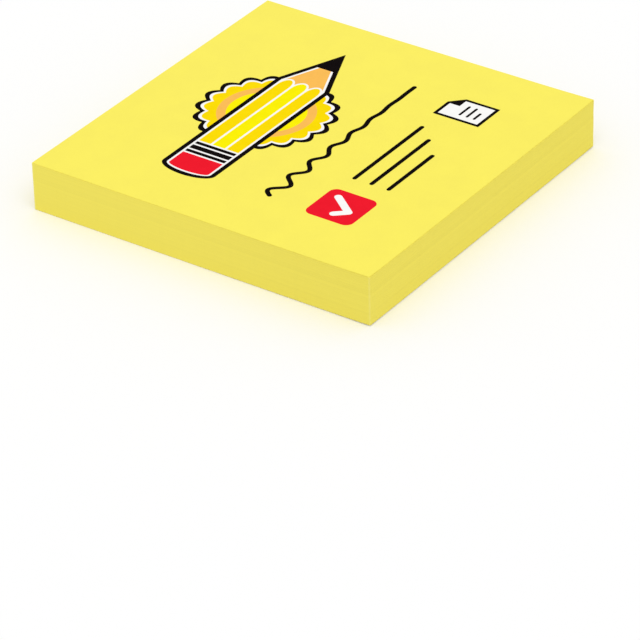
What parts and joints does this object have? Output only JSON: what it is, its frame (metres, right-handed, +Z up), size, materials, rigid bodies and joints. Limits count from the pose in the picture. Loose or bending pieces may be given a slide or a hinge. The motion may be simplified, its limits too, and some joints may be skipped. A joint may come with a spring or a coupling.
{
  "type": "sticky note pad",
  "caption": "Square pad of plain yellow self-stick paper notes, bound along one edge by the tacky band on the back of each sheet, with a cover sheet and a release sheet.",
  "frame": {"origin": "middle of the underside of the release sheet, which lies on the table", "axes": "+Z up through the stack of sheets, +Y from the free edge where a note is lifted to the bound edge where the tacky bands are, +X along a line of writing"},
  "size_m": [0.076, 0.076, 0.0102],
  "materials": {
    "cover_paper": "matte",
    "note_paper": "matte",
    "release_paper": "matte"
  },
  "bodies": {
    "root": {"cover_sheet": "cover_paper", "note_block": "note_paper", "backing_sheet": "release_paper"}
  },
  "joints": []
}
